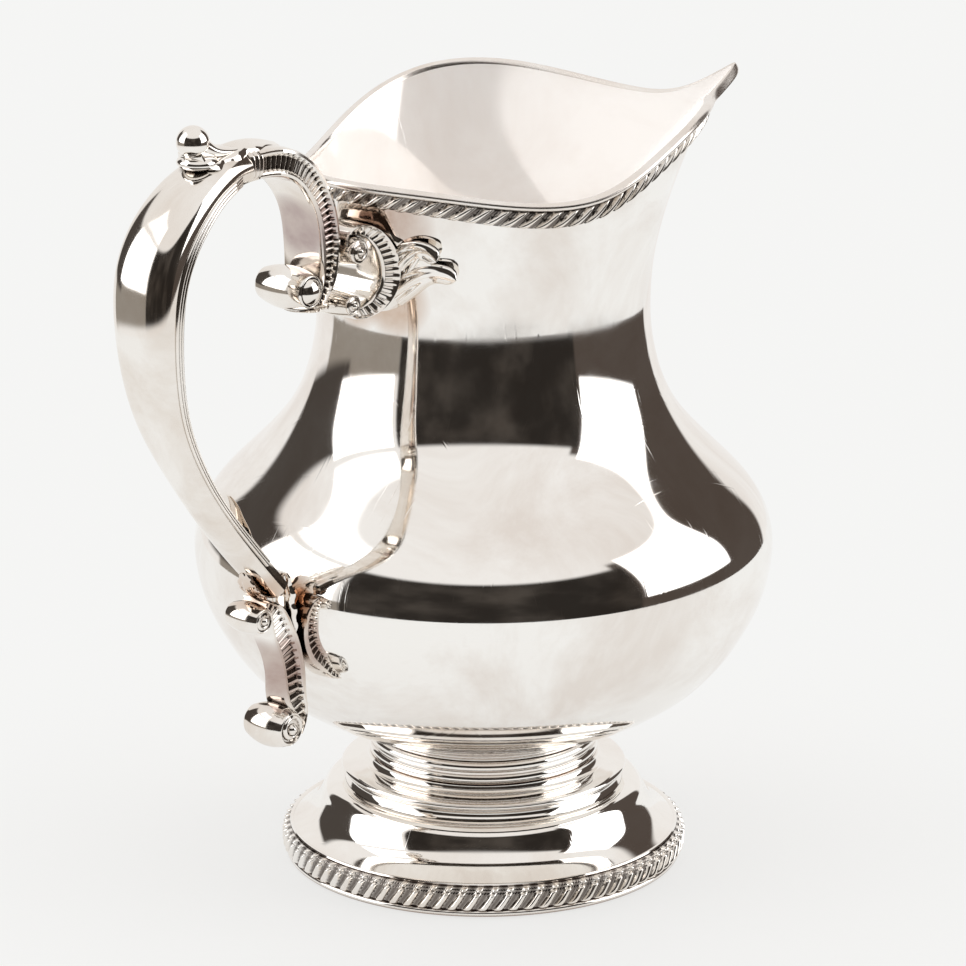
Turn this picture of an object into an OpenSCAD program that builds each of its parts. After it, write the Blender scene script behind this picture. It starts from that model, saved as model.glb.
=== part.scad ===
// Footed water pitcher of sheet silver with a cast scroll handle.
// Frame: +Z up, spout toward +X, handle toward -X, origin on the table under the middle of the outline.
// The modules are drawn about the axis of the bowl; axis_offset then puts that axis in its place.

/* [Bowl and neck] */
// Widest radius of the bowl, mm
belly_radius = 84; // [82:0.5:86]
// Height of the widest part above the table, mm
belly_height = 95; // [93:0.5:97]
// Narrowest radius of the neck, mm
neck_radius = 48; // [46:0.5:50]
// Height of the narrowest part of the neck, mm
neck_height = 170; // [168:0.5:172]
// Height of the underside of the bowl, mm
bowl_base_height = 41.4; // [41:0.1:42]
// Thickness of the silver sheet, mm
sheet = 1.0; // [0.8:0.1:1.4]

/* [Rim and spout] */
// Reach of the sheet at the tip of the spout from the axis, mm
spout_reach = 116.8; // [114:0.2:119]
// Height of the sheet at the tip of the spout, mm
spout_height = 215.6; // [213:0.2:218]
// Highest point of the sheet's edge, on each side behind the spout, mm
rim_peak_height = 221.8; // [219:0.2:224]
// Lowest point of the sheet's edge, on each side toward the handle, mm
rim_dip_height = 206.6; // [205:0.2:209]
// Reach of the sheet's edge at the back, from the axis, mm
rim_back_reach = 61.2; // [59:0.2:63]
// Height of the sheet's edge at the back, mm
rim_back_height = 212.8; // [211:0.2:215]
// Height of the smooth wire on top of the rim, mm
wire_height = 1.9; // [1.5:0.1:2.4]
// Depth of the lobed border under the wire, mm
border_depth = 5.8; // [5:0.1:6.5]
// How far the border stands out from the wall, mm
border_bulge = 1.9; // [1.4:0.1:2.2]

/* [Foot] */
// Outer radius of the lobed border of the foot, mm
foot_radius = 59.3; // [58:0.1:61]
// Height of the smooth ring that stands on the table, mm
base_ring_height = 2.6; // [2:0.1:3]
// Height of the top of the foot's border, mm
foot_border_top = 9.0; // [8.5:0.1:9.4]
// Height of the crease between the dome and the ledge, mm
dome_top = 22.8; // [22:0.1:23.4]
// Radius at that crease, mm
dome_top_radius = 42.3; // [41.5:0.1:43]
// Height of the flat top of the ledge, mm
ledge_top = 28.3; // [27.8:0.1:28.8]
// Radius of the ringed stem, mm
stem_radius = 33.6; // [32.5:0.1:34.5]

/* [Handle] */
// Scale of the handle's width across the part
grip_width_scale = 1; // [0.9:0.05:1.1]
// Width of the upper scroll, mm
upper_scroll_width = 14.6; // [12:0.2:16]
// Width of the lower scroll, mm
lower_scroll_width = 9.4; // [8:0.2:10]
// Number of cross ribs on each flank of the upper scroll
upper_rib_count = 15; // [8:1:18]
// Number of cross ribs on each flank of the lower scroll
lower_rib_count = 11; // [6:1:13]
// Radius of the reeds along each edge of the grip, mm
reed_radius = 0.6; // [0.4:0.05:0.7]

/* [Hidden] */
// Silver of the sheet, of the castings, and of the borders
sheet_silver = [0.86, 0.85, 0.83];
cast_silver = [0.80, 0.78, 0.75];
border_silver = [0.76, 0.74, 0.71];
// Smoothness of the turned pieces
$fn = 96;
// A hair's overlap that lets cutters pass through a face, mm
eps = 0.02;
// Steps drawn between two stations: along the rim, down the bowl, up the shoulder, along the handle
rim_steps = 3;
bowl_steps = 2;
shoulder_steps = 3;
handle_steps = 3;
// Rows between the neck and the rim
spout_rows = 9;

// Bowl below the belly: share of the belly's radius, share of the height from the base to the belly
bowl_shape = [[0.400, 0], [0.560, 0.067], [0.720, 0.213], [0.861, 0.429], [0.964, 0.719], [1, 1]];
// Shoulder: share of the way from neck radius to belly radius, share of the height from belly to neck
shoulder_shape = [[0.877, 0.203], [0.526, 0.379], [0.214, 0.551], [0.036, 0.777], [0, 1]];
bowl_rise = belly_height - bowl_base_height;
shoulder_rise = neck_height - belly_height;
shoulder_run = belly_radius - neck_radius;
bowl_line = [for (p = bowl_shape) [belly_radius * p[0], bowl_base_height + bowl_rise * p[1]]];
shoulder_line = concat([[belly_radius, belly_height]],
    [for (p = shoulder_shape) [neck_radius + shoulder_run * p[0], belly_height + shoulder_rise * p[1]]]);

// Rim stations from the tip of the spout round one side to the back: reach, half width, height
rim_half = [
    [spout_reach, 0, spout_height],
    [100.3, 5.4, 211.1],
    [85.5, 13.8, 211.8],
    [70.4, 25.6, 217],
    [53.8, 39, rim_peak_height],
    [34.1, 50.5, rim_peak_height],
    [10.9, 54.6, 215.2],
    [-10.9, 51.2, rim_dip_height + 0.5],
    [-30.4, 40.8, rim_dip_height],
    [-48.6, 24.3, 210.2],
    [-rim_back_reach, 0, rim_back_height]];
rim_last = len(rim_half) - 1;
rim_loop = concat(rim_half, [for (i = [rim_last - 1:-1:1]) [rim_half[i][0], -rim_half[i][1], rim_half[i][2]]]);
rim_stations = len(rim_loop);
rim_count = rim_stations * rim_steps;

// Smooth curve through four neighbouring points, t from 0 at b to 1 at c
function blend(a, b, c, d, t) =
    0.5 * (2 * b + (c - a) * t + (2 * a - 5 * b + 4 * c - d) * pow(t, 2) + (3 * b - a - 3 * c + d) * pow(t, 3));
// Open curve through a list of points
function open_point(p, i) = i < 0 ? 2 * p[0] - p[1] : i >= len(p) ? 2 * p[len(p) - 1] - p[len(p) - 2] : p[i];
function open_curve(p, steps) = concat(
    [for (i = [0:len(p) - 2], j = [0:steps - 1])
        blend(open_point(p, i - 1), p[i], p[i + 1], open_point(p, i + 2), j / steps)],
    [p[len(p) - 1]]);
function unit(v) = v / norm(v);
function loop_point(p, i) = p[(i + len(p)) % len(p)];

rim_points = [for (i = [0:rim_stations - 1], j = [0:rim_steps - 1])
    blend(loop_point(rim_loop, i - 1), rim_loop[i], loop_point(rim_loop, i + 1), loop_point(rim_loop, i + 2),
        j / rim_steps)];
neck_angles = [for (p = rim_points) atan2(p[1], p[0])];

// Outer wall of the vessel: one ring of points per row
bowl_rows = concat(
    [for (i = [0:len(bowl_line) - 2], j = [0:bowl_steps - 1])
        blend(open_point(bowl_line, i - 1), bowl_line[i], bowl_line[i + 1],
            i + 2 < len(bowl_line) ? bowl_line[i + 2] : shoulder_line[1], j / bowl_steps)],
    [for (i = [0:len(shoulder_line) - 2], j = [0:shoulder_steps - 1])
        blend(i > 0 ? shoulder_line[i - 1] : bowl_line[len(bowl_line) - 2], shoulder_line[i],
            shoulder_line[i + 1], i + 2 < len(shoulder_line) ? shoulder_line[i + 2]
                : shoulder_line[i + 1] + [0, shoulder_line[i + 1][1] - shoulder_line[i][1]],
            j / shoulder_steps)]);
// Flare of the wall between the neck and the rim: 0 at the neck, 1 at the rim, steepest at the rim
flare_rise = 1.6;
function flare(s) = flare_rise * pow(s, 2) - (flare_rise - 1) * pow(s, 3);
function wall(k, s) = let (a = neck_angles[k], r = rim_points[k], n = neck_radius * [cos(a), sin(a)],
        f = flare(s))
    [n[0] + (r[0] - n[0]) * f, n[1] + (r[1] - n[1]) * f, neck_height + (r[2] - neck_height) * s];
outer_rings = concat(
    [for (p = bowl_rows) [for (a = neck_angles) [p[0] * cos(a), p[0] * sin(a), p[1]]]],
    [for (i = [0:spout_rows]) [for (k = [0:rim_count - 1]) wall(k, i / spout_rows)]]);
ring_total = len(outer_rings);
// Outward direction at one point of the outer wall
function wall_normal(i, k) = let (
        along = outer_rings[i][(k + 1) % rim_count] - outer_rings[i][(k + rim_count - 1) % rim_count],
        up = outer_rings[min(i + 1, ring_total - 1)][k] - outer_rings[max(i - 1, 0)][k])
    unit(cross(along, up));
inner_rings = [for (i = [0:ring_total - 1]) [for (k = [0:rim_count - 1])
    let (p = outer_rings[i][k] - sheet * wall_normal(i, k))
    i == ring_total - 1 ? [p[0], p[1], outer_rings[i][k][2]] : p]];
// The floor is as thick as the wall
floor_top = bowl_base_height + sheet;

// Faces between rings of equal length; each ring is a closed loop of points
function ring_faces(rings, n) = [for (i = [0:rings - 2], k = [0:n - 1]) each
    let (a = i * n + k, b = i * n + (k + 1) % n, c = a + n, d = b + n) [[a, c, b], [b, c, d]]];
function closing_faces(rings, n) = let (top = (rings - 1) * n) [for (k = [0:n - 1]) each
    let (a = top + k, b = top + (k + 1) % n, d = (k + 1) % n) [[a, k, b], [b, k, d]]];

// A closed skin over rings of points, with flat ends, or joined end to end
module skin(rings, joined = false) {
    n = len(rings[0]);
    count = len(rings);
    faces = joined ? concat(ring_faces(count, n), closing_faces(count, n))
        : concat([[for (k = [0:n - 1]) k]], ring_faces(count, n),
            [[for (k = [n - 1:-1:0]) (count - 1) * n + k]]);
    polyhedron(points = [for (r = rings) each r], faces = faces, convexity = 10);
}

// Rows of the whole vessel from the middle of the underside, up the outside, down the inside to the floor
module vessel_body() {
    rows = concat(outer_rings, [for (i = [ring_total - 1:-1:0]) inner_rings[i]]);
    count = len(rows);
    under = count * rim_count;
    points = concat([for (r = rows) each r], [[0, 0, bowl_base_height], [0, 0, floor_top]]);
    faces = concat(ring_faces(count, rim_count),
        [for (k = [0:rim_count - 1]) [under, k, (k + 1) % rim_count]],
        [for (k = [0:rim_count - 1]) let (t = (count - 1) * rim_count)
            [under + 1, t + (k + 1) % rim_count, t + k]]);
    color(sheet_silver) polyhedron(points = points, faces = faces, convexity = 10);
}

// Frame of the rim at one point: outward and upward along the wall
function rim_up(k) = unit(wall(k, 1) - wall(k, 0.97));
function rim_out(k) = let (
        along = rim_points[(k + 1) % rim_count] - rim_points[(k + rim_count - 1) % rim_count])
    unit(cross(along, rim_up(k)));
function rim_drop(k, d) = 1 - d / norm(wall(k, 1) - wall(k, 0.9)) * 0.1;

// Half-round wire that closes the top of the wall
wire_half = (sheet + border_bulge) / 2;
wire_section = [for (i = [8:-1:0]) let (a = i * 180 / 8) [wire_half * cos(a), wire_height * sin(a)]];
module rim_wire() {
    color(border_silver) skin([for (k = [0:rim_count - 1]) [for (p = wire_section)
        rim_points[k] + rim_out(k) * (p[0] + wire_half - sheet) + rim_up(k) * p[1]]], true);
}

// Band of the border: depth under the rim, how far it stands out from the wall (as a share of the bulge)
border_section = [[0, 0], [0.03, 0.5], [0.22, 0.86], [0.5, 1], [0.78, 0.86], [0.97, 0.45], [1, 0]];
module rim_gadroon_border() {
    color(border_silver) skin([for (k = [0:rim_count - 1]) [for (p = border_section)
        wall(k, rim_drop(k, p[0] * border_depth)) + rim_out(k) * (p[1] * border_bulge)
            - rim_up(k) * eps]], true);
}

// Turned pieces of the foot, each a closed outline of radius and height
foot_wall = 1.4;
base_ring_outer = foot_radius - 1.1;
base_ring_inner = foot_radius - 5.3;
module foot_base_ring() {
    rounding = base_ring_height / 2;
    color(sheet_silver) rotate_extrude() union() {
        translate([base_ring_inner, 0])
            square([base_ring_outer - rounding - base_ring_inner, base_ring_height]);
        translate([base_ring_outer - rounding, rounding]) circle(r = rounding, $fn = 32);
    }
}

border_back = foot_radius - 4;
module foot_gadroon_border() {
    mid = (base_ring_height + foot_border_top) / 2;
    half = (foot_border_top - base_ring_height) / 2;
    bulge = 2.6;
    color(border_silver) rotate_extrude() intersection() {
        union() {
            translate([border_back, base_ring_height]) square([foot_radius - bulge - border_back, 2 * half]);
            translate([foot_radius - bulge, mid]) scale([bulge, half]) circle(r = 1, $fn = 40);
        }
        translate([border_back, base_ring_height]) square([foot_radius, 2 * half]);
    }
}

// Dome of the foot: share of the way out from the crease to the border, share of the height
dome_shape = [[0, 1], [0.16, 0.97], [0.30, 0.85], [0.40, 0.69], [0.49, 0.52], [0.62, 0.34], [0.79, 0.17],
    [1, 0]];
dome_foot_radius = foot_radius - 2.7;
dome_rise = dome_top - foot_border_top;
dome_outer = open_curve([for (p = dome_shape)
    [dome_top_radius + (dome_foot_radius - dome_top_radius) * p[0], foot_border_top + dome_rise * p[1]]], 3);
dome_inner = [for (p = dome_outer) [p[0] - foot_wall, p[1] - foot_wall * 0.55]];
dome_last = len(dome_outer) - 1;
module foot_dome() {
    skirt = dome_inner[dome_last][0];
    color(sheet_silver) rotate_extrude() polygon(concat(
        [[dome_top_radius - 4, dome_top]], dome_outer, [[dome_outer[dome_last][0], foot_border_top]],
        [[skirt, foot_border_top]],
        [for (i = [dome_last - 1:-1:0]) dome_inner[i]],
        [[dome_top_radius - 4, dome_top - foot_wall]]));
}

// Ledge: a cove, a half-round nose and a flat top that slopes up to the stem
ledge_nose_radius = dome_top_radius - 0.5;
ledge_outline = [
    [dome_top_radius - 1.6, dome_top],
    [dome_top_radius - 2.4, dome_top + 1.1],
    [dome_top_radius - 2.6, dome_top + 2.2],
    [dome_top_radius - 1.7, dome_top + 2.9],
    [ledge_nose_radius - 0.3, dome_top + 3.6],
    [ledge_nose_radius, dome_top + 4.4],
    [ledge_nose_radius - 0.5, dome_top + 5.1],
    [ledge_nose_radius - 1.5, ledge_top],
    [stem_radius + 2, ledge_top]];
module foot_ledge() {
    color(sheet_silver) rotate_extrude() polygon(concat(
        [[stem_radius - 1, dome_top]], open_curve(ledge_outline, 3), [[stem_radius - 1, ledge_top]]));
}

// Stem: a small cove over the ledge, then two plain rings
stem_bore = stem_radius - 3.2;
ring_minor = 1.75;
lower_ring_height = ledge_top + 4.3;
upper_ring_height = lower_ring_height + 3.6;
stem_top = upper_ring_height + 1.9;
module foot_stem() {
    core = stem_radius - ring_minor;
    color(sheet_silver) rotate_extrude() difference() {
        union() {
            translate([stem_bore, ledge_top]) square([core - stem_bore, stem_top - ledge_top]);
            translate([core, ledge_top]) square([stem_radius + 2 - core, 2.6]);
            translate([core, lower_ring_height]) circle(r = ring_minor, $fn = 40);
            translate([core, upper_ring_height]) circle(r = ring_minor, $fn = 40);
        }
        translate([stem_radius + 2, ledge_top + 2.7]) scale([2.1, 2.5]) circle(r = 1, $fn = 40);
        translate([stem_bore - 5, stem_top]) square([20, 5]);
    }
}

// Collar soldered between the stem and the bowl, with fine turned lines
collar_radius = stem_radius - 0.8;
line_depth = 0.25;
line_count = 3;
module foot_collar() {
    rise = bowl_base_height - stem_top;
    color(border_silver) rotate_extrude() difference() {
        translate([stem_bore, stem_top]) square([collar_radius - stem_bore, rise]);
        for (i = [1:line_count]) translate([collar_radius, stem_top + rise * i / (line_count + 1)])
            circle(r = line_depth, $fn = 16);
    }
}

// Points of a path in the plane of symmetry: reach along X, height, half size in the plane, half width
function path_side(path, i) = let (a = path[max(i - 1, 0)], b = path[min(i + 1, len(path) - 1)],
        t = unit([b[0] - a[0], b[1] - a[1]])) [t[1], -t[0]];
// One ring of a sweep: section points are shares of the half sizes, side positive to the path's left
function sweep_ring(path, i, section) = let (n = path_side(path, i)) [for (p = section)
    [path[i][0] + n[0] * p[0] * path[i][2], p[1] * path[i][3], path[i][1] + n[1] * p[0] * path[i][2]]];
module sweep(path, section) skin([for (i = [0:len(path) - 1]) sweep_ring(path, i, section)]);

// Centre of the grip from the upper scroll round to the belly: X, Z, half thickness, half width
grip_stations = [
    [-101, 226.4, 4.1, 6.2],
    [-110, 226.4, 4.2, 7.6],
    [-119.5, 223.7, 4.7, 9.2],
    [-128, 218.3, 5.1, 10.2],
    [-135, 210.9, 5.4, 10.6],
    [-139.2, 202.5, 5.4, 10.6],
    [-140.8, 192.5, 5.2, 10.2],
    [-140.5, 182, 4.9, 9.6],
    [-138.8, 171, 4.5, 8.8],
    [-135.4, 160, 4, 7.8],
    [-129.4, 148.5, 3.5, 6.7],
    [-121.8, 137, 3.1, 6.1],
    [-111.8, 124.3, 3.1, 6],
    [-100.8, 112, 3.1, 5.8],
    [-92.5, 103.2, 3, 5.2]];
grip_path = open_curve([for (s = grip_stations) [s[0], s[1], s[2], s[3] * grip_width_scale]], handle_steps);
// D section: rounded back on the outside of the curve, nearly flat inside
reed_share = 0.04;
shoulder_share = 0.28;
grip_section = concat(
    [for (i = [0:10]) let (a = -90 + 18 * i) [cos(a), sin(a)]],
    [[-shoulder_share, 1 - reed_share / 8], [-1, 1 - reed_share], [-1, 0], [-1, reed_share - 1],
        [-shoulder_share, reed_share / 8 - 1]]);
module handle_grip() color(cast_silver) sweep(grip_path, grip_section);

// Three reeds side by side along one flank of the grip; side is 1 or -1
reed_count = 3;
reed_pitch = (1 - shoulder_share) / reed_count;
reed_first = -shoulder_share - reed_pitch / 2;
function flank(u) = 1 - reed_share + reed_share * 7 / 8 * (u + 1) / (1 - shoulder_share);
function reed_section(i) = let (w = grip_path[i][3])
    concat([[reed_first + reed_pitch / 2, flank(reed_first + reed_pitch / 2)]],
        [for (r = [0:reed_count - 1], a = [35:55:145])
            let (u = reed_first - reed_pitch * r + reed_pitch / 2 * cos(a))
            [u, flank(u) + reed_radius * sin(a) / w]],
        [[-1, flank(-1)]]);
module grip_reeds(side) {
    rings = [for (i = [1:len(grip_path) - 4]) let (s = reed_section(i))
        sweep_ring(grip_path, i,
            side > 0 ? [for (p = s) p] : [for (j = [len(s) - 1:-1:0]) [s[j][0], -s[j][1]]])];
    color(border_silver) skin(rings);
}
module grip_reeds_left() grip_reeds(1);
module grip_reeds_right() grip_reeds(-1);

// Rounded bar section used by both scrolls
bar_section = [[1, -0.8], [1.03, 0], [1, 0.8], [0.8, 0.97], [0, 1], [-0.8, 0.97], [-1, 0.8], [-1.03, 0],
    [-1, -0.8], [-0.8, -0.97], [0, -1], [0.8, -0.97]];

// Rolled end of a scroll: a barrel lying across the part, with a stepped button on each face
module roll(centre, radius, half_length) {
    translate([centre[0], 0, centre[1]]) rotate([90, 0, 0]) rotate_extrude() polygon([
        [0, -half_length], [radius * 0.3, -half_length], [radius * 0.34, -half_length + 0.5],
        [radius * 0.55, -half_length + 0.5], [radius * 0.6, -half_length], [radius * 0.82, -half_length + 0.2],
        [radius * 0.95, -half_length * 0.8], [radius, -half_length * 0.4],
        [radius, half_length * 0.4], [radius * 0.95, half_length * 0.8], [radius * 0.82, half_length - 0.2],
        [radius * 0.6, half_length], [radius * 0.55, half_length - 0.5], [radius * 0.34, half_length - 0.5],
        [radius * 0.3, half_length], [0, half_length]]);
}

// Upper scroll: from the end of the grip over and down beside the neck
upper_half = upper_scroll_width / 2;
upper_roll_centre = [-83.4, 187.9];
upper_roll_radius = 5.3;
upper_stations = [
    [-101, 226.4, 4.1, 6.2],
    [-92.6, 225.8, 4.3, upper_half - 0.4],
    [-85.6, 222.8, 4.3, upper_half],
    [-80, 217.5, 4.3, upper_half],
    [-76.3, 211.5, 4.2, upper_half],
    [-74.3, 205, 4.2, upper_half],
    [-73.6, 198.5, 4.1, upper_half],
    [-73.8, 192.6, 3.6, upper_half],
    [-75.3, 187.4, 2.5, upper_half],
    [-78, 183.4, 1.3, upper_half]];
upper_path = open_curve(upper_stations, handle_steps);
module upper_scroll() color(cast_silver) sweep(upper_path, bar_section);
module upper_scroll_roll() color(cast_silver) roll(upper_roll_centre, upper_roll_radius, 8);

// Cross ribs that stand on the two flanks of a scroll
rib_height = 0.7;
rib_thickness = 0.8;
module ribs(path, count, first, last) {
    color(border_silver) for (k = [0:count - 1], side = [-1, 1])
        let (u = first + (last - first) * k / (count - 1), i = floor(u), f = u - i,
            p = path[i] * (1 - f) + path[i + 1] * f, n = path_side(path, i), a = atan2(n[1], n[0]))
        translate([p[0], side * (p[3] + rib_height / 2), p[1]]) rotate([0, -a, 0])
            cube([p[2] * 1.3, rib_height, rib_thickness], center = true);
}
module upper_scroll_ribs() ribs(upper_path, upper_rib_count, 1, 19.5);

// Leaf that lies on top of the grip and ends in a curled thumb rest
thumb_stations = [
    [-90, 230.4, 0.3, 2],
    [-96, 231.6, 0.9, 3.6],
    [-103, 232.3, 1.2, 4.6],
    [-110, 231.7, 1.2, 5.2],
    [-116, 230.3, 1.4, 6],
    [-120.2, 230.4, 1.7, 6],
    [-122.2, 233, 1.6, 4.4]];
thumb_ball_centre = [-120.4, 235.9];
thumb_ball_radius = 4.3;
leaf_section = [[1, 0], [0.8, 0.5], [0.1, 0.95], [-0.5, 1], [-1, 0.7], [-1, 0], [-1, -0.7], [-0.5, -1],
    [0.1, -0.95], [0.8, -0.5]];
module thumb_leaf() {
    color(cast_silver) difference() {
        sweep(open_curve(thumb_stations, handle_steps), leaf_section);
        translate([thumb_ball_centre[0], 0, thumb_ball_centre[1]]) sphere(r = thumb_ball_radius, $fn = 32);
    }
}
module thumb_ball() {
    color(cast_silver) translate([thumb_ball_centre[0], 0, thumb_ball_centre[1]])
        sphere(r = thumb_ball_radius, $fn = 48);
}

// Bracket between the upper scroll and the neck: a second, open scroll that lies against the wall
bracket_stations = [
    [-67.2, 197.6, 0.8, 8.2],
    [-66.2, 200.4, 1.4, 8.8],
    [-62.8, 201.3, 1.8, 9.8],
    [-58.6, 199.7, 2, 11],
    [-55.4, 196.2, 2.1, 12.2],
    [-53.5, 191.6, 2.2, 13.2],
    [-52.9, 186.6, 2.2, 13.2],
    [-54, 182, 2.1, 12.2],
    [-57, 178.8, 1.9, 10.8],
    [-61, 177.5, 1.6, 9.6],
    [-64.8, 177.2, 1, 8.8]];
bracket_path = open_curve(bracket_stations, handle_steps);
// The flanks slant: the side that meets the wall is the wider one
bracket_section = [[1, -0.95], [1, 0], [1, 0.95], [0.8, 1], [-0.8, 0.77], [-1, 0.7], [-1, 0], [-1, -0.7],
    [-0.8, -0.77], [0.8, -1]];
plate_thickness = 0.9;
bracket_top_roll = [-64.4, 196.2];
bracket_foot_roll = [-66.4, 180.2];
bracket_roll_radius = 2.7;
// Radius of the outside of the neck near the handle, at a height
function neck_wall_radius(z) = let (s = max(0, (z - neck_height) / (rim_back_height - neck_height)))
    neck_radius + (rim_back_reach - neck_radius) * flare(s) * 0.82;
neck_line = [for (z = [neck_height:2:rim_back_height - 6]) [neck_wall_radius(z) + plate_thickness, z]];
// Space taken by the neck and the plate on it
module neck_core() rotate_extrude() polygon(concat([[0, neck_line[0][1]]], neck_line,
    [[0, neck_line[len(neck_line) - 1][1]]]));
module bracket_solid() {
    sweep(bracket_path, bracket_section);
    for (c = [bracket_top_roll, bracket_foot_roll]) translate([c[0], 0, c[1]]) rotate([90, 0, 0])
        cylinder(r = bracket_roll_radius, h = 16.4, center = true, $fn = 40);
}
module neck_bracket() {
    color(cast_silver) difference() {
        bracket_solid();
        neck_core();
    }
}

// Thin plate soldered to the neck behind the bracket; its top edge rises to a point in the middle
plate_reach = 15;
plate_steps = 12;
plate_heights = 8;
module neck_plate() {
    rings = [for (i = [0:plate_steps]) let (
            a = plate_reach * (2 * i / plate_steps - 1), u = abs(a) / plate_reach,
            low = 174 + 5 * pow(u, 2), high = 205.4 - 8.4 * u)
        let (zs = [for (j = [0:plate_heights]) low + (high - low) * j / plate_heights],
            inner = [for (z = zs) [neck_wall_radius(z), z]],
            outer = [for (j = [plate_heights:-1:0]) [neck_wall_radius(zs[j]) + plate_thickness, zs[j]]])
        [for (q = concat(inner, outer)) [q[0] * cos(180 + a), q[0] * sin(180 + a), q[1]]]];
    color(border_silver) skin(rings);
}

// Short leaf cluster that ties the upper scroll to the bracket
bridge_stations = [
    [-82.6, 181.2, 0.8, 3.4],
    [-79.2, 180.8, 1.7, 5.6],
    [-75.4, 181, 2, 6.4],
    [-71.8, 181, 2, 6.4],
    [-69, 180.6, 1.6, 6]];
module bridge_leaves() color(cast_silver) sweep(open_curve(bridge_stations, handle_steps), leaf_section);

// Leaf spread over the neck on one side of the bracket: plan angle from the handle, height, half width
leaf_thickness = 1.6;
leaf_curl = 2.2;
upper_lobe = [
    [12.5, 188.4, 5.2],
    [14.5, 190.8, 4.9],
    [17, 192.9, 4.2],
    [20, 194.2, 3.2],
    [23.4, 194, 2.2],
    [25.6, 192, 1.2]];
lower_lobe = [
    [9.5, 180.2, 4.2],
    [12.5, 182.4, 4.3],
    [16, 184.7, 4.2],
    [22.5, 187.8, 3.2],
    [28, 187.6, 2.4],
    [31, 187.4, 1.2]];
// The leaf rises over the edge of the plate
function seat(turn) = plate_thickness * min(1, max(0, (plate_reach + 2 - turn) / 2));
function lobe_ring(path, i, side) = let (
        a = path[max(i - 1, 0)], b = path[min(i + 1, len(path) - 1)], p = path[i], r = neck_wall_radius(p[1]),
        t = unit([(b[0] - a[0]) * r * PI / 180, b[1] - a[1]]), across = [-t[1], t[0]])
    [for (q = [[-1, 0], [-0.6, 0.7], [0, 1], [0.6, 0.7], [1, 0], [0.6, -0.2], [0, -0.2], [-0.6, -0.2]])
        let (z = p[1] + across[1] * q[0] * p[2], turn = p[0] + across[0] * q[0] * p[2] / r * 180 / PI,
            out = neck_wall_radius(z) + seat(turn) + max(0, q[1]) * leaf_thickness
                + leaf_curl * pow(i / (len(path) - 1), 3),
            phi = 180 + side * turn)
        [out * cos(phi), out * sin(phi), z]];
module lobe(stations, side) {
    path = open_curve(stations, handle_steps);
    rings = [for (i = [0:len(path) - 1]) let (r = lobe_ring(path, i, side))
        side < 0 ? r : [for (j = [len(r) - 1:-1:0]) r[j]]];
    skin(rings);
}
module neck_leaf(side) {
    color(cast_silver) {
        lobe(upper_lobe, side);
        lobe(lower_lobe, side);
    }
}
module neck_leaf_left() neck_leaf(-1);
module neck_leaf_right() neck_leaf(1);

// Lower scroll: hangs from the end of the grip beside the belly
lower_half = lower_scroll_width / 2;
lower_top_roll_centre = [-101.6, 96.9];
lower_top_roll_radius = 3.7;
lower_bottom_roll_centre = [-91.8, 62.9];
lower_bottom_roll_radius = 5.6;
lower_stations = [
    [-98.6, 100.8, 1, lower_half],
    [-94.8, 97.6, 2.9, lower_half],
    [-91.8, 91.6, 4.2, lower_half],
    [-89, 86, 4.4, lower_half],
    [-87.2, 80.6, 4.5, lower_half],
    [-86.4, 75.2, 4.6, lower_half],
    [-86, 70, 4.2, lower_half],
    [-84.4, 64.6, 2.3, lower_half],
    [-85.6, 59.6, 1.1, lower_half]];
lower_path = open_curve(lower_stations, handle_steps);
module lower_scroll() color(cast_silver) sweep(lower_path, bar_section);
module lower_scroll_ribs() ribs(lower_path, lower_rib_count, 4, 17.5);
module lower_scroll_top_roll() color(cast_silver) roll(lower_top_roll_centre, lower_top_roll_radius, 5.2);
module lower_scroll_bottom_roll()
    color(cast_silver) roll(lower_bottom_roll_centre, lower_bottom_roll_radius, 6.6);

// Pad that carries the grip and the lower scroll on the belly
pad_stations = [
    [-88.8, 107.4, 0.9, 3.4],
    [-87.8, 103.4, 2.2, 4.6],
    [-87.2, 98.6, 2.8, 4.8],
    [-86.2, 93, 2, 4.4],
    [-85, 87.6, 0.9, 3.2]];
module belly_pad() color(cast_silver) sweep(open_curve(pad_stations, handle_steps), bar_section);

// Pointed leaf on the inside of the grip, and the small leaf that stands out over the lower scroll
inner_leaf_stations = [
    [-109, 134, 0.4, 1],
    [-107, 130, 0.8, 2.6],
    [-105.2, 124.8, 1.1, 3.6],
    [-101.2, 118, 1.3, 4],
    [-96, 111.2, 1.3, 4],
    [-91, 106, 1, 3.6]];
horn_stations = [
    [-102.9, 110, 0.5, 1.4],
    [-102.4, 107.6, 0.9, 2.8],
    [-100.7, 104.8, 1.2, 3.6],
    [-97.6, 102.2, 1.2, 4]];
module grip_inner_leaf() color(cast_silver) sweep(open_curve(inner_leaf_stations, handle_steps), leaf_section);
module lower_horn_leaf() color(cast_silver) sweep(open_curve(horn_stations, handle_steps), leaf_section);

// Distance of the bowl's axis from the middle of the outline, toward the spout
axis_offset = 13.594;

translate([axis_offset, 0, 0]) {
    vessel_body();
    rim_wire();
    rim_gadroon_border();
    foot_collar();
    foot_stem();
    foot_ledge();
    foot_dome();
    foot_gadroon_border();
    foot_base_ring();
    handle_grip();
    grip_reeds_left();
    grip_reeds_right();
    thumb_leaf();
    thumb_ball();
    upper_scroll();
    upper_scroll_ribs();
    upper_scroll_roll();
    bridge_leaves();
    neck_bracket();
    neck_plate();
    neck_leaf_left();
    neck_leaf_right();
    grip_inner_leaf();
    lower_horn_leaf();
    lower_scroll();
    lower_scroll_ribs();
    lower_scroll_top_roll();
    lower_scroll_bottom_roll();
    belly_pad();
}
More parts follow.
